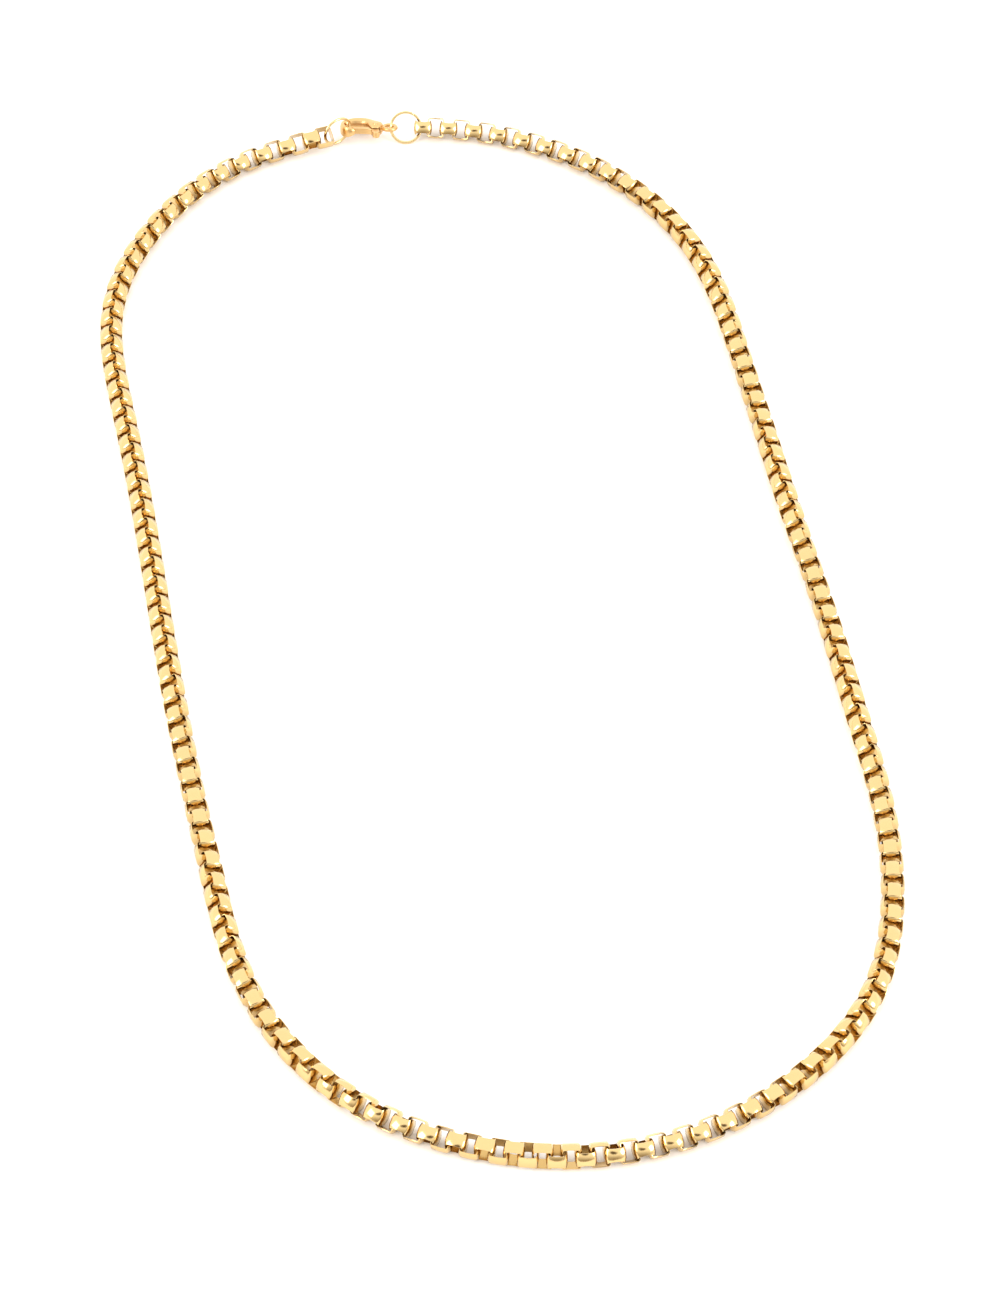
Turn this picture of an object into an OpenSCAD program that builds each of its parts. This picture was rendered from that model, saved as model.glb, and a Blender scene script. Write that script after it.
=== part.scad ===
// Round box chain necklace with a lobster clasp, closed and lying on a flat surface.
// Millimetres, +Z up. The loop's long axis is Y, and the clasp is at its +Y end.
// The origin is on the surface, under the middle of the loop's bounding box.

/* [Chain] */
// Width of the chain, which is the height of one link across the chain
chain_w = 3.7; // [3.4:0.1:4.2]
// Length of one link along the chain
link_l = 3.25; // [2.9:0.05:3.4]
// Width of the domed band that a link is bent from
link_band = 2.5; // [2.0:0.1:2.6]
// Thickness of that band
link_wall = 0.36; // [0.3:0.02:0.44]
// Radius of the ball that rounds a link's outside
link_ball_r = 2.0; // [1.9:0.05:2.4]

/* [Rings] */
// Outer diameter of the ring in the clasp's hook
small_ring_od = 5.6; // [5.4:0.1:6.2]
// Wire of the ring in the clasp's hook
small_ring_wire = 0.55; // [0.45:0.05:0.6]
// Outer diameter of the ring in the clasp's eye
large_ring_od = 5.7; // [5.4:0.1:6.2]
// Wire of the ring in the clasp's eye
large_ring_wire = 0.6; // [0.5:0.05:0.65]

/* [Clasp] */
// Length of the clasp from its nose to the end of its eye
clasp_l = 10; // [9.5:0.1:11]
// Width of the clasp from its spine to its hook's tip
clasp_w = 5; // [4.8:0.1:5.6]
// Thickness of the clasp's body
clasp_t = 2.4; // [2.2:0.1:2.8]
// Outer diameter of the clasp's eye
eye_od = 2.9; // [2.8:0.1:3.2]
// Wire of the clasp's eye
eye_wire = 0.75; // [0.65:0.05:0.8]

/* [Lever] */
// Thickness of the lever
lever_t = 1.0; // [0.8:0.05:1.1]
// Width of the lever's arm at its tip
lever_tip_w = 0.6; // [0.5:0.05:0.65]
// Radius of the boss around the lever's pin
lever_boss_r = 0.7; // [0.65:0.05:0.8]
// How far the thumb tab stands out from the pin
lever_tab_h = 2.8; // [2.2:0.1:3.0]
// Diameter of the lever's pin
pin_d = 0.7; // [0.5:0.05:0.75]

/* [Clearances] */
// Gap around the pin in the lever's bore, and beside the lever in its slot
run_gap = 0.06; // [0.03:0.01:0.09]
// Gap around the pin in the body's bores
pin_gap = 0.01; // [0.01:0.01:0.03]
// Gap between the lever's tip and the hook, and between pieces that hang in each other
seat_gap = 0.12; // [0.1:0.01:0.14]
// Gap between the chain's ends and the end links
chain_gap = 0.3; // [0.2:0.05:0.4]

/* [Hidden] */

gold = "#e6b85c";
clasp_gold = "#d99a4a";

// Shift of the whole loop, which puts its bounding box over the origin
loop_shift = [-0.18, -0.45];

// The chain's route between its end links, down the left side and up the right
route_points = [
    [-20.5, 108], [-35, 99], [-47, 82.5], [-51, 67], [-50.5, 47.5],
    [-50.5, 27.5], [-51, 8], [-51.5, -12], [-51.5, -31.5], [-51, -50.5],
    [-50.5, -71], [-43.5, -89.5], [-30, -103], [-12.5, -111], [7.5, -111.5],
    [25.5, -104.5], [40, -92.5], [47.5, -77], [51.5, -56.5], [51.5, -35.5],
    [52, -14], [51.5, 6.5], [51.5, 27.5], [51.5, 47.5], [51.5, 67],
    [46, 84], [35.5, 98], [20.5, 107.5]
];
tube_sides = 8;
tube_rings_per_span = 2;

// Where the clasp's nose lies, and how each piece by the clasp is turned and leans
nose_at = [-4.3, 111.65, 2.25];
clasp_turn = -8.6;
clasp_lean = -20;
small_ring_turn = 24;
small_ring_lean = 90;
large_ring_turn = -8;
large_ring_lean = 48;
left_link_turn = 10;
left_link_lean = 25;
left_link_lift = 0.85;
right_link_turn = -12;
right_link_lean = -42;
right_link_lift = 0.15;

// The clasp's body up to the middle of its eye's near wire
body_l = clasp_l - eye_od + eye_wire / 2;
eye_x = clasp_l - eye_od / 2;
// Sections along the body, from the hook's tip round the nose and spine to the neck.
// Columns: outer x, outer y, inner x, inner y, thickness. Each x is a share of body_l,
// each y a share of clasp_w and each thickness a share of clasp_t.
body_sections = [
    [0.34, -0.40, 0.33, -0.33, 0.38],
    [0.26, -0.44, 0.25, -0.32, 0.62],
    [0.16, -0.42, 0.19, -0.28, 0.79],
    [0.07, -0.32, 0.14, -0.20, 0.88],
    [0.02, -0.18, 0.12, -0.11, 0.92],
    [0.00,  0.00, 0.12,  0.00, 0.92],
    [0.03,  0.19, 0.14,  0.10, 0.92],
    [0.12,  0.35, 0.21,  0.16, 0.92],
    [0.26,  0.46, 0.30,  0.19, 0.96],
    [0.41,  0.50, 0.42,  0.19, 1.00],
    [0.56,  0.48, 0.54,  0.15, 1.00],
    [0.69,  0.42, 0.62,  0.05, 1.00],
    [0.78,  0.35, 0.66, -0.14, 1.00],
    [0.85,  0.29, 0.73, -0.35, 1.00],
    [0.92,  0.22, 0.86, -0.37, 0.96],
    [0.96,  0.16, 0.94, -0.24, 0.83],
    [0.99,  0.11, 0.98, -0.11, 0.60],
    [1.00,  0.07, 1.00, -0.07, 0.33]
];
crook_x = 0.12 * body_l;
crook_half = 0.46 * clasp_t;
body_sides = 14;
body_roundness = 2.5;

// The lever's pin, and its slot in the body
pivot = [0.82 * body_l, -0.17 * clasp_w];
slot_w = lever_t + 2 * run_gap;
slot_top = 0.2;
pin_l = clasp_t + 0.1;

link_outline_power = 3;
link_outline_steps = 40;
small_ring_r = (small_ring_od - small_ring_wire) / 2;
large_ring_r = (large_ring_od - large_ring_wire) / 2;

// Unit vector in the surface's plane, turned by an angle
function heading(a) = [cos(a), sin(a)];

// A point given in the clasp's own frame, moved to its place in the loop
function clasp_place(x, y, z) =
    let (y1 = y * cos(clasp_lean) - z * sin(clasp_lean),
         z1 = y * sin(clasp_lean) + z * cos(clasp_lean))
    [nose_at.x + x * cos(clasp_turn) - y1 * sin(clasp_turn),
     nose_at.y + x * sin(clasp_turn) + y1 * cos(clasp_turn),
     nose_at.z + z1];

// Angle between a leaning piece and one that stands upright
function off_upright(lean) = 90 - lean;

// How far a leaning ring's wire is from its centre line, at a height above its centre
function ring_half_chord(r, lean, height) = sqrt(pow(r, 2) - pow(height / sin(lean), 2));

// How far the middle of a ring's wire stays off a wall that the ring goes round. The wall
// stands out by half to each side, skewed from the ring's plane and off its centre by drop.
function wall_offset(od, wire, half, skew, drop) =
    let (r = od / 2 - wire, reach = half / cos(skew) + abs(drop))
    r - sqrt(pow(r, 2) - pow(reach, 2)) + wire / 2 + seat_gap;

// Height of a leaning end link's centre when it rests on the surface
function link_rest(lean) =
    link_band / 2 * cos(lean)
    + sqrt(pow(link_ball_r, 2) - pow(link_band / 2, 2)) * abs(sin(lean));

link_z = chain_w / 2;
left_link_z = link_rest(left_link_lean) + left_link_lift;
right_link_z = link_rest(right_link_lean) + right_link_lift;

// The small ring's wire lies in the hook's crook and in the left end link
hook_seat_x = crook_x + wall_offset(small_ring_od, small_ring_wire, crook_half,
                                    off_upright(small_ring_lean) + clasp_lean, 0);
hook_seat = clasp_place(hook_seat_x, 0, 0);
small_ring_z = small_ring_r * sin(small_ring_lean) + small_ring_wire / 2;
small_ring_xy = [hook_seat.x, hook_seat.y]
    - ring_half_chord(small_ring_r, small_ring_lean, hook_seat.z - small_ring_z)
    * heading(small_ring_turn);
left_wire_xy = small_ring_xy
    - ring_half_chord(small_ring_r, small_ring_lean, left_link_z - small_ring_z)
    * heading(small_ring_turn);
left_link_xy = left_wire_xy
    - (link_l / 2 - link_wall
       - wall_offset(small_ring_od, small_ring_wire, link_band / 2,
                     off_upright(small_ring_lean) + left_link_lean, small_ring_z - left_link_z))
    * heading(left_link_turn);

// The large ring's wire lies at the far side of the eye and in the right end link
eye_play = eye_od / 2 - eye_wire - large_ring_wire / 2 - seat_gap;
eye_seat = clasp_place(eye_x + eye_play, 0, 0);
large_ring_z = large_ring_r * sin(large_ring_lean) + large_ring_wire / 2;
large_ring_xy = [eye_seat.x, eye_seat.y]
    + ring_half_chord(large_ring_r, large_ring_lean, eye_seat.z - large_ring_z)
    * heading(large_ring_turn);
right_wire_xy = large_ring_xy
    + ring_half_chord(large_ring_r, large_ring_lean, right_link_z - large_ring_z)
    * heading(large_ring_turn);
right_link_xy = right_wire_xy
    + (link_l / 2 - link_wall
       - wall_offset(large_ring_od, large_ring_wire, link_band / 2,
                     off_upright(large_ring_lean) + right_link_lean, large_ring_z - right_link_z))
    * heading(right_link_turn);

// The lever's tip stops short of the small ring's wire
lever_reach = pivot.x - hook_seat_x - small_ring_wire / 2 - 1.5 * seat_gap;

route = concat([left_link_xy], route_points, [right_link_xy]);
spans = len(route) - 1;
chain_trim = link_l / 2 + chain_gap;
chain_start = chain_trim / norm(route[1] - route[0]);
chain_end = spans - chain_trim / norm(route[spans] - route[spans - 1]);
chain_middle = spans / 2;

// A route point by number, with the line carried on straight past either end
function route_point(i) =
    i < 0 ? 2 * route[0] - route[1]
    : i > spans ? 2 * route[spans] - route[spans - 1]
    : route[i];

// A point of the smooth route, which is a uniform cubic B-spline, u spans along it
function route_at(u) =
    let (i = max(0, min(floor(u), spans - 1)), t = u - i)
    (pow(1 - t, 3) * route_point(i - 1)
     + (3 * pow(t, 3) - 6 * pow(t, 2) + 4) * route_point(i)
     + (-3 * pow(t, 3) + 3 * pow(t, 2) + 3 * t + 1) * route_point(i + 1)
     + pow(t, 3) * route_point(i + 2)) / 6;

// A superellipse with half widths a and b
function superellipse(a, b, power, steps) = [
    for (i = [0 : steps - 1])
        let (c = cos(360 * i / steps), s = sin(360 * i / steps))
        [a * sign(c) * pow(abs(c), 2 / power), b * sign(s) * pow(abs(s), 2 / power)]
];

// Joins loops of points, which turn anticlockwise about the way they follow each other,
// into one solid with flat ends
module skin(loops) {
    n = len(loops[0]);
    last = len(loops) - 1;
    polyhedron(
        points = [for (ring = loops) each ring],
        faces = concat(
            [[for (k = [0 : n - 1]) k]],
            [for (i = [0 : last - 1], k = [0 : n - 1])
                let (a = i * n + k, b = i * n + (k + 1) % n)
                [a, b + n, b]],
            [for (i = [0 : last - 1], k = [0 : n - 1])
                let (a = i * n + k, b = i * n + (k + 1) % n)
                [a, a + n, b + n]],
            [[for (k = [n - 1 : -1 : 0]) last * n + k]]),
        convexity = 10);
}

// One section of the chain's tube, flat side down, with its lowest line on the surface
function tube_loop(u) =
    let (p = route_at(u),
         ahead = route_at(min(u + 0.01, spans)) - route_at(max(u - 0.01, 0)),
         side = [-ahead.y, ahead.x] / norm(ahead),
         r = link_z / cos(180 / tube_sides))
    [for (k = [0 : tube_sides - 1])
        let (a = 360 * (k + 0.5) / tube_sides)
        [p.x + r * cos(a) * side.x, p.y + r * cos(a) * side.y, link_z + r * sin(a)]];

module chain_tube(u_from, u_to) {
    steps = ceil((u_to - u_from) * tube_rings_per_span);
    skin([for (i = [0 : steps]) tube_loop(u_from + (u_to - u_from) * i / steps)]);
}

module in_loop() {
    translate([loop_shift.x, loop_shift.y, 0]) children();
}

// Places a flat piece by its centre, and leans it about its own length
module placed(xy, z, turn, lean) {
    translate([xy.x, xy.y, z]) rotate([0, 0, turn]) rotate([lean, 0, 0]) children();
}

module in_clasp() {
    in_loop() placed([nose_at.x, nose_at.y], nose_at.z, clasp_turn, clasp_lean) children();
}

module chain_left() {
    color(gold) in_loop() chain_tube(chain_start, chain_middle);
}

module chain_right() {
    color(gold) in_loop() chain_tube(chain_middle, chain_end);
}

// A band bent into a rounded square, with its outside rounded as a ball
module link() {
    intersection() {
        linear_extrude(height = link_band, center = true)
            difference() {
                polygon(superellipse(link_l / 2, chain_w / 2,
                                     link_outline_power, link_outline_steps));
                polygon(superellipse(link_l / 2 - link_wall, chain_w / 2 - link_wall,
                                     link_outline_power, link_outline_steps));
            }
        sphere(r = link_ball_r, $fn = 64);
    }
}

module end_link_left() {
    color(gold) in_loop()
        placed(left_link_xy, left_link_z, left_link_turn, left_link_lean) link();
}

module end_link_right() {
    color(gold) in_loop()
        placed(right_link_xy, right_link_z, right_link_turn, right_link_lean) link();
}

module wire_ring(r, wire) {
    rotate_extrude($fn = 64) translate([r, 0]) circle(d = wire, $fn = 24);
}

module small_ring() {
    color(gold) in_loop()
        placed(small_ring_xy, small_ring_z, small_ring_turn, small_ring_lean)
            wire_ring(small_ring_r, small_ring_wire);
}

module large_ring() {
    color(gold) in_loop()
        placed(large_ring_xy, large_ring_z, large_ring_turn, large_ring_lean)
            wire_ring(large_ring_r, large_ring_wire);
}

// One rounded section of the clasp's body, across the line from its outer to its inner edge
function body_loop(row) =
    let (outer = [row[0] * body_l, row[1] * clasp_w],
         inner = [row[2] * body_l, row[3] * clasp_w],
         middle = (outer + inner) / 2,
         across = (outer - inner) / 2)
    [for (q = superellipse(1, row[4] * clasp_t / 2, body_roundness, body_sides))
        [middle.x + q.x * across.x, middle.y + q.x * across.y, q.y]];

module clasp_body() {
    color(clasp_gold) in_clasp() difference() {
        union() {
            skin([for (row = body_sections) body_loop(row)]);
            translate([eye_x, 0, 0]) wire_ring((eye_od - eye_wire) / 2, eye_wire);
        }
        translate([pivot.x - 2.7 * lever_boss_r, -clasp_w, -slot_w / 2])
            cube([3.7 * lever_boss_r + run_gap, clasp_w + slot_top, slot_w]);
        translate([pivot.x, pivot.y, 0])
            cylinder(d = pin_d + 2 * pin_gap, h = 2 * clasp_t, center = true, $fn = 32);
    }
}

// The lever's outline about its pin: the arm reaches towards the nose, the tab stands out
function lever_outline() = [
    [-lever_reach, -0.2 * lever_tip_w], [-0.97 * lever_reach, 0],
    [-0.78 * lever_reach, 0.1 * lever_tip_w],
    [-0.4 * lever_reach, 0.25 * lever_tip_w], [-lever_boss_r, 0.55 * lever_boss_r],
    [-0.5 * lever_boss_r, 0.9 * lever_boss_r], [0, lever_boss_r],
    [0.6 * lever_boss_r, 0.8 * lever_boss_r], [lever_boss_r, 0],
    [0.8 * lever_boss_r, -0.4 * lever_tab_h], [0.95 * lever_boss_r, -0.7 * lever_tab_h],
    [0.6 * lever_boss_r, -0.94 * lever_tab_h], [0, -lever_tab_h],
    [-0.6 * lever_boss_r, -0.92 * lever_tab_h], [-0.9 * lever_boss_r, -0.7 * lever_tab_h],
    [-lever_boss_r, -0.45 * lever_tab_h], [-0.4 * lever_reach, -0.3 * lever_tab_h],
    [-0.7 * lever_reach, -1.15 * lever_tip_w], [-0.95 * lever_reach, -lever_tip_w],
    [-0.99 * lever_reach, -0.8 * lever_tip_w]
];

module clasp_lever() {
    color(clasp_gold) in_clasp() translate([pivot.x, pivot.y, 0]) difference() {
        linear_extrude(height = lever_t, center = true) polygon(lever_outline());
        cylinder(d = pin_d + 2 * run_gap, h = 2 * lever_t, center = true, $fn = 32);
    }
}

module clasp_pin() {
    color(clasp_gold) in_clasp() translate([pivot.x, pivot.y, 0])
        cylinder(d = pin_d, h = pin_l, center = true, $fn = 32);
}

chain_left();
chain_right();
end_link_left();
end_link_right();
small_ring();
large_ring();
clasp_body();
clasp_lever();
clasp_pin();
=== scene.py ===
"""A round box chain necklace with a lobster clasp, lying closed on a pale floor."""

from bisect import bisect_right
import math

import bmesh
import bpy
from mathutils import Matrix, Vector


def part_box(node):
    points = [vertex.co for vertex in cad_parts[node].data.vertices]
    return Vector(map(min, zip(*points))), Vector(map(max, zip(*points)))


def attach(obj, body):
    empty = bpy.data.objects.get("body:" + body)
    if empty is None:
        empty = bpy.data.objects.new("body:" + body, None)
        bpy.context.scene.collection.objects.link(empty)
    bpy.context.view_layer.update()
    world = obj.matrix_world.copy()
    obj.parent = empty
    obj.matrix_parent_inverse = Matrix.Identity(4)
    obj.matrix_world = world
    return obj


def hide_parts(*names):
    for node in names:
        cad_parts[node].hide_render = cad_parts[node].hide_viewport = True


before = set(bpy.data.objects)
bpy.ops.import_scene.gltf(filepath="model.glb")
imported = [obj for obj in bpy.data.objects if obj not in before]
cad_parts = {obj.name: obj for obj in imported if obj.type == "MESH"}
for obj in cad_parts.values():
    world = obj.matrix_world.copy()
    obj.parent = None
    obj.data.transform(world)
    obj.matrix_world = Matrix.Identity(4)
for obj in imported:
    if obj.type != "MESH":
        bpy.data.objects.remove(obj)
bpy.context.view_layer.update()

bl_info = {
    "name": "Round box chain necklace",
    "version": (1, 0, 0),
    "blender": (4, 5, 0),
    "location": "3D View > Sidebar > Necklace",
    "description": "Builds a round box chain necklace, its lobster clasp and its stage",
    "category": "Object",
}

MM = 0.001
NECKLACE_BODY = "necklace"
LEVER_BODY = "lever"

# The chain's route between its end links, in metres, down the left and up the right
ROUTE = [
    (-0.0205, 0.108), (-0.035, 0.099), (-0.047, 0.0825), (-0.051, 0.067),
    (-0.0505, 0.0475), (-0.0505, 0.0275), (-0.051, 0.008), (-0.0515, -0.012),
    (-0.0515, -0.0315), (-0.051, -0.0505), (-0.0505, -0.071), (-0.0435, -0.0895),
    (-0.030, -0.103), (-0.0125, -0.111), (0.0075, -0.1115), (0.0255, -0.1045),
    (0.040, -0.0925), (0.0475, -0.077), (0.0515, -0.0565), (0.0515, -0.0355),
    (0.052, -0.014), (0.0515, 0.0065), (0.0515, 0.0275), (0.0515, 0.0475),
    (0.0515, 0.067), (0.046, 0.084), (0.0355, 0.098), (0.0205, 0.1075),
]
LOOP_SHIFT = Vector((-0.00018, -0.00045))

# How far the chain is rolled about its own line: link number and degrees. At 0 the even
# links' holes face up, and a growing number turns their near side to the inside of the loop.
ROLL = [
    (0, -25), (8, -45), (56, -45), (64, -50), (72, -70), (80, -90), (90, -135),
    (100, -180), (110, -225), (120, -270), (128, -315), (136, -335), (144, -375),
    (152, -415), (160, -445), (176, -495), (192, -555), (208, -620), (224, -680),
    (232, -720), (240, -755), (248, -765), (255, -768),
]
# How far the slack lets links lie past an even spacing: link number and millimetres
SLACK = [
    (0, 0.0), (10, 1.2), (20, 1.5), (45, 1.8), (70, 2.0), (90, 1.9), (105, 1.5),
    (120, 1.0), (126, 0.5), (140, 0.25), (150, -0.2), (180, -0.6), (220, -0.7),
    (235, -0.9), (246, -0.7), (255, 0.0),
]

# The clasp in millimetres: where its nose lies, and how it turns and leans
NOSE_AT = (-4.3, 111.65, 2.25)
CLASP_TURN = -8.6
CLASP_LEAN = -20.0
# Outer x, outer y, inner x, inner y and thickness of the body's sections, as shares
BODY_SECTIONS = [
    (0.34, -0.40, 0.33, -0.33, 0.38), (0.26, -0.44, 0.25, -0.32, 0.62),
    (0.16, -0.42, 0.19, -0.28, 0.79), (0.07, -0.32, 0.14, -0.20, 0.88),
    (0.02, -0.18, 0.12, -0.11, 0.92), (0.00, 0.00, 0.12, 0.00, 0.92),
    (0.03, 0.19, 0.14, 0.10, 0.92), (0.12, 0.35, 0.21, 0.16, 0.92),
    (0.26, 0.46, 0.30, 0.19, 0.96), (0.41, 0.50, 0.42, 0.19, 1.00),
    (0.56, 0.48, 0.54, 0.15, 1.00), (0.69, 0.42, 0.62, 0.05, 1.00),
    (0.78, 0.35, 0.66, -0.14, 1.00), (0.85, 0.29, 0.73, -0.35, 1.00),
    (0.92, 0.22, 0.86, -0.37, 0.96), (0.96, 0.16, 0.94, -0.24, 0.83),
    (0.99, 0.11, 0.98, -0.11, 0.60), (1.00, 0.07, 1.00, -0.07, 0.33),
]

# How each ring is turned and leans, and where on it its joint lies, in degrees
SMALL_RING_TURN, SMALL_RING_LEAN, SMALL_RING_JOINT = 24.0, 90.0, 250.0
LARGE_RING_TURN, LARGE_RING_LEAN, LARGE_RING_JOINT = -8.0, 48.0, 60.0

# The gold's marks: how many lie in a metre, how scratches are drawn out, and their depth
CLOUDS_A_METRE, RUBS_A_METRE, SCRATCHES_A_METRE = 900.0, 9000.0, 26000.0
SCRATCH_STRETCH = (1.0, 0.16, 0.5)
MARK_DEPTH = 0.00002


# ---- Settings ----

def length_setting(name, description, metres):
    return bpy.props.FloatProperty(
        name=name, description=description, default=metres, min=0.0,
        unit="LENGTH", precision=5)


def colour_setting(name, description, value):
    return bpy.props.FloatVectorProperty(
        name=name, description=description, default=value, size=3,
        subtype="COLOR", min=0.0, max=1.0)


class ChainSettings(bpy.types.PropertyGroup):
    link_count: bpy.props.IntProperty(
        name="Links", description="Links in the chain, both end links among them",
        default=256, min=2)
    link_length: length_setting("Link length", "Length of a link along the chain", 0.00325)
    link_width: length_setting("Link width", "Width of a link across the chain", 0.0037)
    band: length_setting("Band", "Width of the band that a link is bent from", 0.0025)
    wall: length_setting("Wall", "Thickness of that band", 0.00036)
    edge: length_setting("Edge", "Thickness left at its edges where it is turned round", 0.0001)
    end_dome: length_setting("End dome", "How far the edges lie back at a link's ends", 0.00025)
    air: length_setting("Air", "Air left between the links and the floor", 0.000005)
    unevenness: bpy.props.FloatProperty(
        name="Unevenness", description="How far a link may roll off its neighbours' line",
        default=math.radians(1.4), min=0.0, subtype="ANGLE")
    seed: bpy.props.IntProperty(
        name="Seed", description="Picks the links' small differences", default=7)


class RingSettings(bpy.types.PropertyGroup):
    small_outside: length_setting("Small ring", "Outer diameter of the hook's ring", 0.0056)
    small_wire: length_setting("Small ring's wire", "Wire of the hook's ring", 0.0005)
    large_outside: length_setting("Large ring", "Outer diameter of the eye's ring", 0.0057)
    large_wire: length_setting("Large ring's wire", "Wire of the eye's ring", 0.0005)
    joint: length_setting("Joint", "Gap where a ring's wire ends meet", 0.00004)


class ClaspSettings(bpy.types.PropertyGroup):
    length: length_setting("Length", "From the nose to the end of the eye", 0.010)
    width: length_setting("Width", "From the spine to the hook's tip", 0.005)
    thickness: length_setting("Thickness", "Thickness of the body", 0.0024)
    eye_outside: length_setting("Eye", "Outer diameter of the eye", 0.0029)
    eye_wire: length_setting("Eye's wire", "Thickness of the eye", 0.00075)
    lever: length_setting("Lever", "Thickness of the lever", 0.0010)
    lever_boss: length_setting("Boss", "Radius of the lever's boss", 0.0007)
    lever_tab: length_setting("Tab", "How far the thumb tab stands out", 0.0028)
    lever_tip: length_setting("Tip", "Width of the lever's arm at its tip", 0.0006)
    pin: length_setting("Pin", "Diameter of the lever's pin", 0.0007)
    running_gap: length_setting("Running gap", "Gap round the pin and beside the lever", 0.00006)


class FinishSettings(bpy.types.PropertyGroup):
    chain_gold: colour_setting("Chain", "Gold of the chain's links", (0.73, 0.52, 0.235))
    ring_gold: colour_setting("Rings", "Gold of the two rings", (0.78, 0.58, 0.29))
    clasp_gold: colour_setting("Clasp", "Gold of the clasp", (0.73, 0.47, 0.205))
    # Painted shade: a darker gold laid on the links' inner faces.
    inside_shade_gold: colour_setting("Inside", "Gold inside the links, darkened as painted shade", (0.54, 0.35, 0.13))
    polish: bpy.props.FloatProperty(
        name="Polish", description="Roughness of the polished links",
        default=0.14, min=0.0, max=1.0, subtype="FACTOR")
    satin: bpy.props.FloatProperty(
        name="Satin", description="Roughness of the clasp", default=0.30,
        min=0.0, max=1.0, subtype="FACTOR")


class StageSettings(bpy.types.PropertyGroup):
    floor: colour_setting("Floor", "Colour of the floor", (0.94, 0.92, 0.90))
    sky: bpy.props.FloatProperty(
        name="Sky", description="Brightness of the white surround", default=1.6, min=0.0)
    key: bpy.props.FloatProperty(
        name="Key light", description="Power of the small bright light", default=4.0,
        min=0.0, subtype="POWER")
    fill: bpy.props.FloatProperty(
        name="Fill light", description="Power of the weaker soft light", default=5.0,
        min=0.0, subtype="POWER")


# ---- Nodes ----

class Wire:
    """A node's socket that can be used in arithmetic, each step of which adds a Math node."""

    def __init__(self, socket):
        self.socket = socket
        self.tree = socket.id_data

    def maths(self, operation, *values):
        return add_node(self.tree, "ShaderNodeMath", {"operation": operation},
                        dict(enumerate(values)))

    def __add__(self, other):
        return self.maths("ADD", self, other)

    def __sub__(self, other):
        return self.maths("SUBTRACT", self, other)

    def __mul__(self, other):
        return self.maths("MULTIPLY", self, other)

    def __radd__(self, other):
        return self.maths("ADD", other, self)

    def __rsub__(self, other):
        return self.maths("SUBTRACT", other, self)

    def __rmul__(self, other):
        return self.maths("MULTIPLY", other, self)


def add_node(tree, kind, settings=None, inputs=None, output=0):
    """Adds a node of a kind, with its settings and its inputs' values or links."""
    made = tree.nodes.new(kind)
    for name, value in (settings or {}).items():
        setattr(made, name, value)
    for key, value in (inputs or {}).items():
        socket = made.inputs[key]
        if isinstance(value, Wire):
            tree.links.new(value.socket, socket)
        else:
            socket.default_value = value
    return Wire(made.outputs[output]) if made.outputs else made


def new_material(name):
    """An empty node material, with its tree."""
    material = bpy.data.materials.new(name)
    material.use_nodes = True
    tree = material.node_tree
    tree.nodes.clear()
    return material, tree


def noise(tree, where, scale, detail=3.0):
    """Soft noise from 0 to 1."""
    return add_node(tree, "ShaderNodeTexNoise", None,
                    {"Vector": where, "Scale": scale, "Detail": detail}, "Fac")


def mixed(tree, factor, first, second):
    """A colour between two others."""
    return add_node(tree, "ShaderNodeMix", {"data_type": "RGBA"},
                    {0: factor, 6: first, 7: second}, 2)


def rgba(colour, share=1.0):
    """A colour made a little darker, with the fourth number that a socket needs."""
    return (colour[0] * share, colour[1] * share, colour[2] * share, 1.0)


def gold_material(name, colour, inside, roughness, grain, dents):
    """Polished gold with fine rub marks, a slight waviness, and a duller inside whose darker
    colour is painted shade.
    """
    cloud_share, tone_share, darkest = 0.35, 0.25, 0.86
    cloud_dullness, hollow_dullness = 0.06, 0.05
    scratch_relief, relief_strength = 0.6, 0.35
    material, tree = new_material(name)
    where = add_node(tree, "ShaderNodeTexCoord", output="Object")
    hollow = add_node(tree, "ShaderNodeAttribute", {"attribute_name": "hollow"}, output="Fac")
    tone = add_node(tree, "ShaderNodeAttribute", {"attribute_name": "tone"}, output="Fac")
    cloud = noise(tree, where, CLOUDS_A_METRE)
    rub = noise(tree, where, RUBS_A_METRE, 2.0)
    stretched = add_node(tree, "ShaderNodeMapping", None,
                         {"Vector": where, "Scale": SCRATCH_STRETCH})
    scratch = noise(tree, stretched, SCRATCHES_A_METRE, 2.0)
    tint = mixed(tree, cloud * cloud_share + tone * tone_share,
                 rgba(colour), rgba(colour, darkest))
    # Painted shade: the links' inner faces take the darker inside colour.
    shade = mixed(tree, hollow, tint, rgba(inside))
    dullness = (cloud * cloud_dullness + scratch * grain + hollow * hollow_dullness
                + (roughness - cloud_dullness))
    relief = rub * dents + scratch * (grain * scratch_relief)
    bump = add_node(tree, "ShaderNodeBump", None,
                    {"Strength": relief_strength, "Distance": MARK_DEPTH, "Height": relief})
    shader = add_node(tree, "ShaderNodeBsdfPrincipled", None,
                      {"Base Color": shade, "Metallic": 1.0, "Roughness": dullness,
                       "Normal": bump})
    add_node(tree, "ShaderNodeOutputMaterial", None, {"Surface": shader})
    return material


def floor_material(colour):
    """A plain pale card, hardly uneven."""
    clouds_a_metre, cloud_share, darkest = 14.0, 0.3, 0.98
    material, tree = new_material("pale_floor")
    where = add_node(tree, "ShaderNodeTexCoord", output="Object")
    cloud = noise(tree, where, clouds_a_metre)
    shade = mixed(tree, cloud * cloud_share, rgba(colour), rgba(colour, darkest))
    shader = add_node(tree, "ShaderNodeBsdfPrincipled", None,
                      {"Base Color": shade, "Roughness": 0.9, "Specular IOR Level": 0.1})
    add_node(tree, "ShaderNodeOutputMaterial", None, {"Surface": shader})
    return material


# ---- Shapes ----

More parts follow.
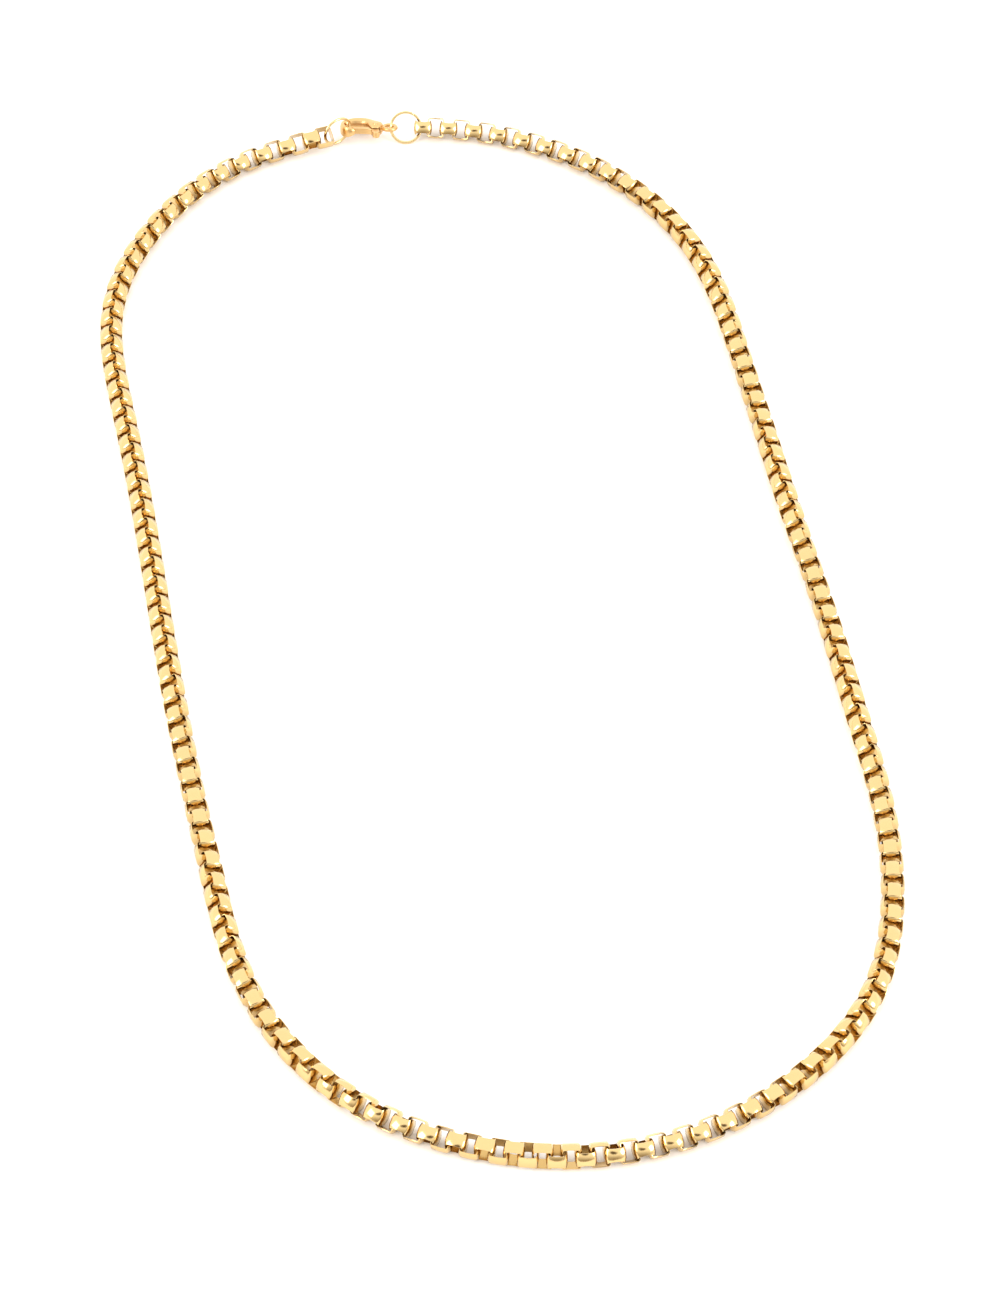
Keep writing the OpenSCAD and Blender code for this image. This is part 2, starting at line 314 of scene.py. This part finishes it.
def superellipse(half_x, half_y, power, steps):
    """Points round a rounded rectangle, anticlockwise."""
    points = []
    for k in range(steps):
        c, s = math.cos(math.tau * k / steps), math.sin(math.tau * k / steps)
        points.append(Vector((
            math.copysign(half_x * abs(c) ** (2 / power), c),
            math.copysign(half_y * abs(s) ** (2 / power), s))))
    return points


def between(knots, t):
    """A smooth value between (place, value) knots, through each knot."""
    last = len(knots) - 1
    k = min(max(sum(1 for place, _ in knots if place <= t) - 1, 0), last - 1)
    p0, p1, p2, p3 = (knots[min(max(i, 0), last)] for i in (k - 1, k, k + 1, k + 2))
    span = p2[0] - p1[0]
    u = (t - p1[0]) / span
    slope1 = (p2[1] - p0[1]) / (p2[0] - p0[0]) * span
    slope2 = (p3[1] - p1[1]) / (p3[0] - p1[0]) * span
    return ((2 * u**3 - 3 * u**2 + 1) * p1[1] + (u**3 - 2 * u**2 + u) * slope1
            + (3 * u**2 - 2 * u**3) * p2[1] + (u**3 - u**2) * slope2)


def route_line(start, end, steps_per_span):
    """The smooth line of the route, from one end link's centre to the other's."""
    inner = [Vector(p) + LOOP_SHIFT for p in ROUTE]
    points = [start, *inner, end]
    points = [2 * points[0] - points[1], *points, 2 * points[-1] - points[-2]]
    line = []
    for k in range(1, len(points) - 2):
        a, b, c, d = points[k - 1:k + 3]
        for step in range(steps_per_span):
            t = step / steps_per_span
            line.append(((1 - t)**3 * a + (3 * t**3 - 6 * t**2 + 4) * b
                         + (-3 * t**3 + 3 * t**2 + 3 * t + 1) * c + t**3 * d) / 6)
    line.append(end)
    return line


def skin(bm, loops, cap=True):
    """Quads from each loop of points to the next, with the two ends closed."""
    rows = [[bm.verts.new(point) for point in loop] for loop in loops]
    for one, two in zip(rows, rows[1:]):
        for k in range(len(one)):
            n = (k + 1) % len(one)
            bm.faces.new((one[k], one[n], two[n], two[k]))
    if cap:
        bm.faces.new(list(reversed(rows[0])))
        bm.faces.new(rows[-1])
    bmesh.ops.recalc_face_normals(bm, faces=bm.faces)
    return rows


def mesh_object(name, bm):
    """A smooth object in the scene from a bmesh, which is freed."""
    mesh = bpy.data.meshes.new(name)
    for face in bm.faces:
        face.smooth = True
    bm.to_mesh(mesh)
    bm.free()
    obj = bpy.data.objects.new(name, mesh)
    bpy.context.scene.collection.objects.link(obj)
    return obj


def settled(obj, name, helpers=()):
    """A plain object with the first one's modifiers applied. The first one is removed."""
    bpy.context.view_layer.update()
    seen = obj.evaluated_get(bpy.context.evaluated_depsgraph_get())
    mesh = bpy.data.meshes.new_from_object(seen)
    mesh.name = name
    for used in (obj, *helpers):
        bpy.data.objects.remove(used)
    plain = bpy.data.objects.new(name, mesh)
    bpy.context.scene.collection.objects.link(plain)
    return plain


def finish_piece(obj, material, body, slot, *nodes):
    """Gives a finished piece its material and its body, and hides the nodes it stands for. Its
    slot is not used.
    """
    if not obj.data.polygons:
        raise RuntimeError(f"{obj.name} has no faces")
    obj.data.materials.clear()
    obj.data.materials.append(material)
    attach(obj, body)
    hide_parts(*nodes)


def clasp_matrix():
    """From the clasp's own millimetres to the scene's metres."""
    place = Matrix.Translation(Vector(NOSE_AT) * MM + LOOP_SHIFT.to_3d())
    turn = Matrix.Rotation(math.radians(CLASP_TURN), 4, "Z")
    lean = Matrix.Rotation(math.radians(CLASP_LEAN), 4, "X")
    return place @ turn @ lean @ Matrix.Scale(MM, 4)


def tube_loops(radius, wire, start, sweep, steps, sides, cut_ends):
    """Loops of points round a wire that is bent in a circle about Z. Cut ends are bevelled."""
    bevel_width, bevel_height = 0.7, 0.02
    loops = []
    for k in range(steps + 1):
        angle = start + sweep * k / steps
        loops.append([(radius + wire / 2 * math.cos(a), wire / 2 * math.sin(a), angle)
                      for a in (math.tau * i / sides for i in range(sides))])
    if cut_ends:
        rise = bevel_height * wire / radius
        first, last = (
            [(radius + (r - radius) * bevel_width, z * bevel_width, angle + way * rise)
             for r, z, angle in edge]
            for edge, way in ((loops[0], -1), (loops[-1], 1)))
        loops = [first, *loops, last]
    return [[Vector((r * math.cos(angle), r * math.sin(angle), z)) for r, z, angle in loop]
            for loop in loops]


# ---- Operators ----

class NECKLACE_OT_chain(bpy.types.Operator):
    """Links the whole chain along its route and sets it in place of the tubes"""
    bl_idname = "necklace.chain"
    bl_label = "Make the chain"

    STRIPS = (-1.0, -0.45, 0.45, 1.0)
    AROUND = 12
    OUTSIDE_POWER = 4.4
    INSIDE_POWER = 10.0
    STEPS_PER_SPAN = 72
    LINKS_TO_SETTLE = 2.4

    def link(self, s):
        """One link: a band bent into a rounded square round Z, and turned round about X."""
        length, radius = s.link_length / 2, s.link_width / 2
        outer = superellipse(length, radius, self.OUTSIDE_POWER, self.AROUND)
        inner = superellipse(length - s.wall, radius - s.wall, self.INSIDE_POWER,
                             self.AROUND)

        def outside(point, z):
            """A point of the band's outside, turned round and drawn back by the dome."""
            back = 1.0 - s.end_dome / length * (z / (s.band / 2)) ** 2
            limit = math.sqrt(radius**2 - z**2)
            return point.x * back, math.copysign(min(abs(point.y), limit), point.y), z

        bm = bmesh.new()
        hollow = bm.verts.layers.float.new("hollow")
        rows = []
        for out, into in zip(outer, inner):
            room = radius**2 - (abs(into.y) + s.edge) ** 2
            half = min(s.band / 2, math.sqrt(room))
            row = []
            for share in self.STRIPS:
                row.append(bm.verts.new(outside(out, share * half)))
            for share in (1.0, 0.0, -1.0):
                row.append(bm.verts.new((into.x, into.y, share * half)))
                # Marks the inner face, where the gold is darkened as painted shade.
                row[-1][hollow] = 1.0
            rows.append(row)
        count = len(rows[0])
        top = len(self.STRIPS) - 1
        for k, row in enumerate(rows):
            ahead = rows[(k + 1) % len(rows)]
            for i in range(count):
                n = (i + 1) % count
                bm.faces.new((row[i], ahead[i], ahead[n], row[n]))
            for i in (0, top, top + 1, count - 1):
                bm.edges.get((row[i], ahead[i])).smooth = False
        bmesh.ops.recalc_face_normals(bm, faces=bm.faces)
        return mesh_object("link", bm)

    def resting_height(self, s, roll, link):
        """How far the centre line lies above the floor where the links are rolled so far."""
        reach = 0.0
        for turn in (roll - s.unevenness, roll + s.unevenness):
            c, v = abs(math.cos(turn)), abs(math.sin(turn))
            for across, up in ((c, v), (v, c)):
                reach = max(reach, max(p.co.y * across + p.co.z * up
                                       for p in link.data.vertices))
        return reach + s.air

    def line(self, s, link):
        """A point for each link along the route, with how far the link is rolled."""
        ends = [sum(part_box(node), Vector()) / 2 for node in ("end_link_left", "end_link_right")]
        flat = route_line(ends[0].to_2d(), ends[1].to_2d(), self.STEPS_PER_SPAN)
        run = [0.0]
        for one, two in zip(flat, flat[1:]):
            run.append(run[-1] + (two - one).length)
        last = s.link_count - 1
        points, rolls = [], []
        for number in range(s.link_count):
            knot = number * ROLL[-1][0] / last
            at = min(run[-1] * number / last + between(SLACK, knot) * MM, run[-1])
            k = min(bisect_right(run, at), len(run) - 1)
            spot = flat[k - 1].lerp(flat[k], (at - run[k - 1]) / (run[k] - run[k - 1]))
            roll = math.radians(between(ROLL, knot))
            rest = self.resting_height(s, roll, link)
            height = rest
            for end, away in ((ends[0], number), (ends[1], last - number)):
                height += (end.z - rest) * math.exp(-(away / self.LINKS_TO_SETTLE) ** 2)
            points.append((spot.x, spot.y, height))
            rolls.append(roll)
        mesh = bpy.data.meshes.new("line")
        mesh.from_pydata(points, [(k, k + 1) for k in range(last)], [])
        mesh.attributes.new("roll", "FLOAT", "POINT").data.foreach_set("value", rolls)
        obj = bpy.data.objects.new("line", mesh)
        bpy.context.scene.collection.objects.link(obj)
        return obj

    def tree(self):
        """Geometry nodes that set a link on each point of the line, each a quarter on."""
        tree = bpy.data.node_groups.new("links_along_line", "GeometryNodeTree")
        face = tree.interface
        face.new_socket("Geometry", in_out="OUTPUT", socket_type="NodeSocketGeometry")
        for name, kind in (("Geometry", "Geometry"), ("Link", "Object"),
                           ("Quarter turn", "Float"), ("Unevenness", "Float"), ("Seed", "Int"),
                           ("Finish", "Material")):
            face.new_socket(name, in_out="INPUT", socket_type="NodeSocket" + kind)
        given = tree.nodes.new("NodeGroupInput")
        named = {socket.name: Wire(socket) for socket in given.outputs if socket.name}
        curve = add_node(tree, "GeometryNodeMeshToCurve", None, {"Mesh": named["Geometry"]})
        along = add_node(tree, "GeometryNodeInputTangent")
        base = add_node(tree, "FunctionNodeAxesToRotation",
                        {"primary_axis": "X", "secondary_axis": "Z"},
                        {"Primary Axis": along, "Secondary Axis": (0.0, 0.0, 1.0)})
        number = add_node(tree, "GeometryNodeInputIndex")
        roll = add_node(tree, "GeometryNodeInputNamedAttribute", {"data_type": "FLOAT"},
                        {"Name": "roll"})
        off = add_node(tree, "FunctionNodeRandomValue", {"data_type": "FLOAT"},
                       {2: named["Unevenness"] * -1.0, 3: named["Unevenness"],
                        "ID": number, "Seed": named["Seed"]}, 1)
        angle = roll + number * named["Quarter turn"] + off
        about = add_node(tree, "FunctionNodeAxisAngleToRotation", None,
                         {"Axis": (1.0, 0.0, 0.0), "Angle": angle})
        turned = add_node(tree, "FunctionNodeRotateRotation", {"rotation_space": "LOCAL"},
                          {"Rotation": base, "Rotate By": about})
        shape = add_node(tree, "GeometryNodeObjectInfo", {"transform_space": "ORIGINAL"},
                         {"Object": named["Link"], "As Instance": True}, "Geometry")
        links = add_node(tree, "GeometryNodeInstanceOnPoints", None,
                         {"Points": curve, "Instance": shape, "Rotation": turned})
        tone = add_node(tree, "FunctionNodeRandomValue", {"data_type": "FLOAT"},
                        {"ID": add_node(tree, "GeometryNodeInputIndex"),
                         "Seed": named["Seed"]}, 1)
        toned = add_node(tree, "GeometryNodeStoreNamedAttribute",
                         {"data_type": "FLOAT", "domain": "INSTANCE"},
                         {"Geometry": links, "Name": "tone", "Value": tone})
        real = add_node(tree, "GeometryNodeRealizeInstances", None, {"Geometry": toned})
        done = add_node(tree, "GeometryNodeSetMaterial", None,
                        {"Geometry": real, "Material": named["Finish"]})
        result = tree.nodes.new("NodeGroupOutput")
        tree.links.new(done.socket, result.inputs[0])
        return tree

    def execute(self, context):
        s = context.scene.necklace_chain
        finish = context.scene.necklace_finish
        gold = gold_material("polished_chain_gold", finish.chain_gold, finish.inside_shade_gold,
                             finish.polish, grain=0.05, dents=0.5)
        link, tree = self.link(s), self.tree()
        line = self.line(s, link)
        modifier = line.modifiers.new("links", "NODES")
        modifier.node_group = tree
        values = {"Link": link, "Quarter turn": math.pi / 2,
                  "Unevenness": s.unevenness, "Seed": s.seed, "Finish": gold}
        for item in tree.interface.items_tree:
            if item.in_out == "INPUT" and item.name in values:
                modifier[item.identifier] = values[item.name]
        chain = settled(line, "chain_links", (link,))
        finish_piece(chain, gold, NECKLACE_BODY, "chain_gold",
                     "chain_left", "chain_right", "end_link_left", "end_link_right")
        return {"FINISHED"}


class NECKLACE_OT_rings(bpy.types.Operator):
    """Bends the two wire rings, each with the joint where its ends meet"""
    bl_idname = "necklace.rings"
    bl_label = "Make the rings"

    STEPS = 72
    SIDES = 16

    def ring(self, name, node, outside, wire, joint, turn, lean, joint_at):
        """A ring that stands where its node does, turned, leant and open at its joint."""
        radius = (outside - wire) / 2
        half_joint = joint / radius / 2
        start = math.radians(joint_at) + half_joint
        bm = bmesh.new()
        skin(bm, tube_loops(radius, wire, start, math.tau - 2 * half_joint,
                            self.STEPS, self.SIDES, True))
        obj = mesh_object(name, bm)
        centre = sum(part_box(node), Vector()) / 2
        obj.data.transform(Matrix.Translation(centre)
                           @ Matrix.Rotation(math.radians(turn), 4, "Z")
                           @ Matrix.Rotation(math.radians(lean), 4, "X"))
        return obj

    def execute(self, context):
        s = context.scene.necklace_rings
        finish = context.scene.necklace_finish
        gold = gold_material("polished_ring_gold", finish.ring_gold, finish.inside_shade_gold,
                             finish.polish, grain=0.05, dents=0.4)
        small = self.ring("small_wire_ring", "small_ring", s.small_outside, s.small_wire,
                          s.joint, SMALL_RING_TURN, SMALL_RING_LEAN, SMALL_RING_JOINT)
        finish_piece(small, gold, NECKLACE_BODY, "ring_gold", "small_ring")
        large = self.ring("large_wire_ring", "large_ring", s.large_outside, s.large_wire,
                          s.joint, LARGE_RING_TURN, LARGE_RING_LEAN, LARGE_RING_JOINT)
        finish_piece(large, gold, NECKLACE_BODY, "ring_gold", "large_ring")
        return {"FINISHED"}


class ClaspSizes:
    """The clasp's sizes in millimetres, and the places that follow from them."""

    def __init__(self, s):
        self.length, self.width = s.length / MM, s.width / MM
        self.thickness = s.thickness / MM
        self.eye, self.eye_wire = s.eye_outside / MM, s.eye_wire / MM
        self.gap, self.pin = s.running_gap / MM, s.pin / MM
        self.lever, self.boss = s.lever / MM, s.lever_boss / MM
        self.tab, self.tip = s.lever_tab / MM, s.lever_tip / MM
        self.body = self.length - self.eye + self.eye_wire / 2
        self.eye_x = self.length - self.eye / 2
        self.pivot = Vector((0.82 * self.body, -0.17 * self.width, 0.0))


def rod(radius, length, at, sides=48, dome=0.0):
    """A round rod along Z in a bmesh, with its ends domed."""
    shares = (0.55, 0.9, 1.0)
    ends = [(-1, share) for share in shares] + [(1, share) for share in reversed(shares)]
    loops = []
    for way, share in ends:
        rise = length / 2 - dome * (1 - math.sqrt(1 - share**2))
        loops.append([at + Vector((radius * share * math.cos(a), radius * share * math.sin(a),
                                   way * rise))
                      for a in (math.tau * i / sides for i in range(sides))])
    bm = bmesh.new()
    skin(bm, loops)
    return bm


def block(low, high):
    """A box in a bmesh, from its low corner to its high one."""
    bm = bmesh.new()
    bmesh.ops.create_cube(bm, size=1.0)
    middle, span = (low + high) / 2, high - low
    for vert in bm.verts:
        vert.co = middle + Vector((vert.co.x * span.x, vert.co.y * span.y, vert.co.z * span.z))
    return bm


def carve(obj, steps, cell, passes):
    """Joins and cuts an object with others, then rounds every edge as polishing does.

    Gives back the objects it was joined and cut with, which are removed later.
    """
    helpers = []
    for operation, name, bm in steps:
        tool = mesh_object(name, bm)
        helpers.append(tool)
        change = obj.modifiers.new(name, "BOOLEAN")
        change.operation, change.object, change.solver = operation, tool, "EXACT"
    even = obj.modifiers.new("even", "REMESH")
    even.mode, even.voxel_size, even.use_smooth_shade = "VOXEL", cell, True
    soft = obj.modifiers.new("soft", "SMOOTH")
    soft.factor, soft.iterations = 0.5, passes
    return helpers


class NECKLACE_OT_clasp_body(bpy.types.Operator):
    """Casts the clasp's body: hook, spine, housing and eye in one piece"""
    bl_idname = "necklace.clasp_body"
    bl_label = "Make the clasp's body"

    STEPS_PER_ROW = 4
    SIDES = 28
    ROUNDNESS = 2.4
    EYE_STEPS = 64
    EYE_SIDES = 20
    # The slot's reach is in boss radii, and the lengths below it are in millimetres
    SLOT_REACH = 2.7
    SLOT_TOP = 0.2
    PIN_PLAY = 0.01
    CELL = 0.05
    POLISHING = 5

    def loops(self, c):
        """The body's cross-sections, evened between the table's rows."""
        columns = [[(k, row[i]) for k, row in enumerate(BODY_SECTIONS)] for i in range(5)]
        loops = []
        for step in range((len(BODY_SECTIONS) - 1) * self.STEPS_PER_ROW + 1):
            ox, oy, ix, iy, thick = (between(column, step / self.STEPS_PER_ROW)
                                     for column in columns)
            outer = Vector((ox * c.body, oy * c.width, 0.0))
            inner = Vector((ix * c.body, iy * c.width, 0.0))
            middle, across = (outer + inner) / 2, (outer - inner) / 2
            edge = superellipse(1.0, thick * c.thickness / 2, self.ROUNDNESS, self.SIDES)
            loops.append([middle + across * p.x + Vector((0, 0, p.y)) for p in edge])
        return loops

    def eye(self, c):
        """The closed wire ring at the body's end."""
        bm = bmesh.new()
        loops = tube_loops((c.eye - c.eye_wire) / 2, c.eye_wire, 0.0, math.tau,
                           self.EYE_STEPS, self.EYE_SIDES, False)
        rows = skin(bm, loops, cap=False)
        bmesh.ops.remove_doubles(bm, verts=rows[0] + rows[-1], dist=1e-4)
        bmesh.ops.translate(bm, verts=bm.verts, vec=(c.eye_x, 0.0, 0.0))
        return bm

    def execute(self, context):
        c = ClaspSizes(context.scene.necklace_clasp)
        finish = context.scene.necklace_finish
        gold = gold_material("satin_clasp_gold", finish.clasp_gold, finish.inside_shade_gold,
                             finish.satin, grain=0.08, dents=1.0)
        bm = bmesh.new()
        skin(bm, self.loops(c))
        obj = mesh_object("body_skin", bm)
        half_slot = c.lever / 2 + c.gap
        slot = block(Vector((c.pivot.x - self.SLOT_REACH * c.boss, -c.width, -half_slot)),
                     Vector((c.pivot.x + c.boss + c.gap, self.SLOT_TOP, half_slot)))
        bore = rod(c.pin / 2 + self.PIN_PLAY, 2 * c.thickness, c.pivot)
        helpers = carve(obj, (("UNION", "eye", self.eye(c)), ("DIFFERENCE", "slot", slot),
                              ("DIFFERENCE", "bore", bore)), self.CELL, self.POLISHING)
        body = settled(obj, "clasp_cast_body", helpers)
        body.data.transform(clasp_matrix())
        finish_piece(body, gold, NECKLACE_BODY, "clasp_gold", "clasp_body")
        return {"FINISHED"}


class NECKLACE_OT_clasp_lever(bpy.types.Operator):
    """Shapes the clasp's lever, with its arm, boss and thumb tab, on the lever's body"""
    bl_idname = "necklace.clasp_lever"
    bl_label = "Make the clasp's lever"

    STEPS_PER_POINT = 5
    # In millimetres, like the clasp's other sizes
    CELL = 0.04
    POLISHING = 6

    def outline(self, c):
        """Round the lever, about its pin."""
        reach, boss, tab, tip = self.reach(c), c.boss, c.tab, c.tip
        return [
            (-reach, -0.2 * tip), (-0.97 * reach, 0.0), (-0.78 * reach, 0.1 * tip),
            (-0.4 * reach, 0.25 * tip), (-boss, 0.55 * boss), (-0.5 * boss, 0.9 * boss),
            (0.0, boss), (0.6 * boss, 0.8 * boss), (boss, 0.0), (0.8 * boss, -0.4 * tab),
            (0.95 * boss, -0.7 * tab), (0.6 * boss, -0.94 * tab), (0.0, -tab),
            (-0.6 * boss, -0.92 * tab), (-0.9 * boss, -0.7 * tab), (-boss, -0.45 * tab),
            (-0.4 * reach, -0.3 * tab),
            (-0.7 * reach, -1.15 * tip), (-0.95 * reach, -tip), (-0.99 * reach, -0.8 * tip),
        ]

    def reach(self, c):
        """From the pin to the tip, as the CAD lever has it."""
        corners = [clasp_matrix().inverted() @ v.co
                   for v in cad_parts["clasp_lever"].data.vertices]
        return c.pivot.x - min(v.x for v in corners)

    def execute(self, context):
        c = ClaspSizes(context.scene.necklace_clasp)
        finish = context.scene.necklace_finish
        gold = gold_material("satin_lever_gold", finish.clasp_gold, finish.inside_shade_gold,
                             finish.satin, grain=0.08, dents=1.0)
        points = self.outline(c)
        xs = [(k, p[0]) for k, p in enumerate(points + points[:1])]
        ys = [(k, p[1]) for k, p in enumerate(points + points[:1])]
        places = [k / self.STEPS_PER_POINT for k in range(len(points) * self.STEPS_PER_POINT)]
        line = [Vector((between(xs, k), between(ys, k), 0.0)) for k in places]
        bm = bmesh.new()
        half = c.lever / 2
        skin(bm, [[c.pivot + p + Vector((0, 0, z)) for p in line] for z in (-half, half)])
        obj = mesh_object("lever_skin", bm)
        bore = rod(c.pin / 2 + c.gap, 2 * c.lever, c.pivot)
        helpers = carve(obj, (("DIFFERENCE", "bore", bore),), self.CELL, self.POLISHING)
        lever = settled(obj, "clasp_thumb_lever", helpers)
        lever.data.transform(clasp_matrix())
        finish_piece(lever, gold, LEVER_BODY, "clasp_gold", "clasp_lever")
        return {"FINISHED"}


class NECKLACE_OT_clasp_pin(bpy.types.Operator):
    """Turns the rivet that the lever swings on"""
    bl_idname = "necklace.clasp_pin"
    bl_label = "Make the clasp's rivet"

    SIDES = 40
    # In millimetres, like the clasp's other sizes
    STANDS_OUT = 0.1
    DOME = 0.06

    def execute(self, context):
        c = ClaspSizes(context.scene.necklace_clasp)
        finish = context.scene.necklace_finish
        gold = gold_material("rivet_gold", finish.clasp_gold, finish.inside_shade_gold,
                             finish.satin, grain=0.1, dents=0.6)
        bm = rod(c.pin / 2, c.thickness + self.STANDS_OUT, c.pivot, self.SIDES, self.DOME)
        rivet = mesh_object("clasp_rivet", bm)
        rivet.data.transform(clasp_matrix())
        finish_piece(rivet, gold, NECKLACE_BODY, "clasp_gold", "clasp_pin")
        return {"FINISHED"}


class NECKLACE_OT_stage(bpy.types.Operator):
    """Sets the pale floor, the white surround, the soft lights and the camera"""
    bl_idname = "necklace.stage"
    bl_label = "Make the stage"

    FLOOR_HALF = 2.5
    CAMERA_AT = Vector((-0.10402, -0.50362, 0.5486))
    HEADING = math.radians(12.0)
    LEVEL = Vector((math.cos(HEADING), -math.sin(HEADING), 0.0))
    DOWN = math.radians(47.458)
    ROLL = math.radians(1.466)
    LENS = 132.46
    KEY_AT, KEY_SIZE, KEY_COLOUR = (0.72, -0.55, 0.42), 0.36, (1.0, 1.0, 1.0)
    FILL_AT, FILL_SIZE, FILL_COLOUR = (-0.84, -0.27, 0.47), 0.6, (1.0, 0.98, 0.95)
    DARK_WIDE, DARK_TALL = 0.36, 0.13
    DARK_STARTS, DARK_FULL, BEHIND = 2.0, 0.3, 9.0
    DARK_COLOUR = (0.08, 0.06, 0.04)
    LOW_COLOUR = (0.27, 0.23, 0.18)

    def floor(self, colour):
        """A large flat floor, which is no part of the necklace."""
        bm = bmesh.new()
        bmesh.ops.create_grid(bm, x_segments=8, y_segments=8, size=self.FLOOR_HALF)
        obj = mesh_object("floor", bm)
        obj.data.materials.append(floor_material(colour))

    def camera(self, scene):
        """The camera, where the photograph was taken from and rolled as it was."""
        data = bpy.data.cameras.new("camera")
        data.lens, data.sensor_width, data.sensor_fit = self.LENS, 36.0, "AUTO"
        data.clip_start, data.clip_end = 0.01, 20.0
        obj = bpy.data.objects.new("camera", data)
        scene.collection.objects.link(obj)
        ahead = Vector((math.sin(self.HEADING) * math.cos(self.DOWN),
                        math.cos(self.HEADING) * math.cos(self.DOWN), -math.sin(self.DOWN)))
        upright = self.LEVEL.cross(ahead)
        right = self.LEVEL * math.cos(self.ROLL) + upright * math.sin(self.ROLL)
        up = right.cross(ahead)
        obj.matrix_world = Matrix((
            (right.x, up.x, -ahead.x, self.CAMERA_AT.x),
            (right.y, up.y, -ahead.y, self.CAMERA_AT.y),
            (right.z, up.z, -ahead.z, self.CAMERA_AT.z),
            (0.0, 0.0, 0.0, 1.0)))
        scene.camera = obj

    def light(self, scene, name, power, size, at, colour):
        """A square soft light that faces the middle of the floor."""
        data = bpy.data.lights.new(name, "AREA")
        data.energy, data.size, data.color = power, size, colour
        obj = bpy.data.objects.new(name, data)
        scene.collection.objects.link(obj)
        obj.location = at
        obj.rotation_mode = "QUATERNION"
        obj.rotation_quaternion = (-Vector(at)).to_track_quat("-Z", "Y")

    def surround(self, scene, strength):
        """White all round, darker low in front and dark about the camera."""
        world = bpy.data.worlds.new("surround")
        world.use_nodes = True
        tree = world.node_tree
        tree.nodes.clear()
        where = add_node(tree, "ShaderNodeTexCoord", output="Generated")

        def along(axis):
            """How far each direction lies along an axis."""
            return add_node(tree, "ShaderNodeVectorMath", {"operation": "DOT_PRODUCT"},
                            {0: where, 1: axis}, "Value")

        def rising(value, none_at, full_at):
            """A smooth share from nothing to full."""
            return add_node(tree, "ShaderNodeMapRange", {"interpolation_type": "SMOOTHSTEP"},
                            {"Value": value, "From Min": none_at, "From Max": full_at})

        toward = self.CAMERA_AT.normalized()
        near = along(toward)
        wide = along(self.LEVEL) * (1 / self.DARK_WIDE)
        tall = along(self.LEVEL.cross(toward)) * (1 / self.DARK_TALL)
        behind = near.maths("LESS_THAN", near, 0.0)
        off = wide * wide + tall * tall + behind * self.BEHIND
        dark = rising(off, self.DARK_STARTS, self.DARK_FULL)
        low = rising(along((*toward.to_2d().normalized(), -1.0)), 0.0, 1.0)
        hall = mixed(tree, low, rgba((1.0, 1.0, 1.0)), rgba(self.LOW_COLOUR))
        shade = mixed(tree, dark, hall, rgba(self.DARK_COLOUR))
        back = add_node(tree, "ShaderNodeBackground", None,
                        {"Color": shade, "Strength": strength})
        add_node(tree, "ShaderNodeOutputWorld", None, {"Surface": back})
        scene.world = world

    def execute(self, context):
        scene = context.scene
        s = scene.necklace_stage
        self.floor(s.floor)
        self.camera(scene)
        self.light(scene, "key_light", s.key, self.KEY_SIZE, self.KEY_AT, self.KEY_COLOUR)
        self.light(scene, "fill_light", s.fill, self.FILL_SIZE, self.FILL_AT,
                   self.FILL_COLOUR)
        self.surround(scene, s.sky)
        scene.view_settings.view_transform = "Standard"
        scene.view_settings.look = "None"
        return {"FINISHED"}


class VIEW3D_PT_necklace(bpy.types.Panel):
    """Lists the necklace's pieces and their settings"""
    bl_idname = "VIEW3D_PT_necklace"
    bl_label = "Necklace"
    bl_space_type = "VIEW_3D"
    bl_region_type = "UI"
    bl_category = "Necklace"

    def draw(self, context):
        for group in SETTINGS:
            box = self.layout.box()
            for name in group[1].__annotations__:
                box.prop(getattr(context.scene, group[0]), name)
        for operator in OPERATORS:
            self.layout.operator(operator.bl_idname)


SETTINGS = (
    ("necklace_chain", ChainSettings),
    ("necklace_rings", RingSettings),
    ("necklace_clasp", ClaspSettings),
    ("necklace_finish", FinishSettings),
    ("necklace_stage", StageSettings),
)
OPERATORS = (
    NECKLACE_OT_chain,
    NECKLACE_OT_rings,
    NECKLACE_OT_clasp_body,
    NECKLACE_OT_clasp_lever,
    NECKLACE_OT_clasp_pin,
    NECKLACE_OT_stage,
)


def register():
    for name, group in SETTINGS:
        bpy.utils.register_class(group)
        setattr(bpy.types.Scene, name, bpy.props.PointerProperty(type=group))
    for kind in (*OPERATORS, VIEW3D_PT_necklace):
        bpy.utils.register_class(kind)


def unregister():
    for kind in reversed((*OPERATORS, VIEW3D_PT_necklace)):
        bpy.utils.unregister_class(kind)
    for name, group in reversed(SETTINGS):
        delattr(bpy.types.Scene, name)
        bpy.utils.unregister_class(group)


def main():
    register()
    bpy.ops.necklace.chain()
    bpy.ops.necklace.rings()
    bpy.ops.necklace.clasp_body()
    bpy.ops.necklace.clasp_lever()
    bpy.ops.necklace.clasp_pin()
    bpy.ops.necklace.stage()


if __name__ == "__main__":
    main()
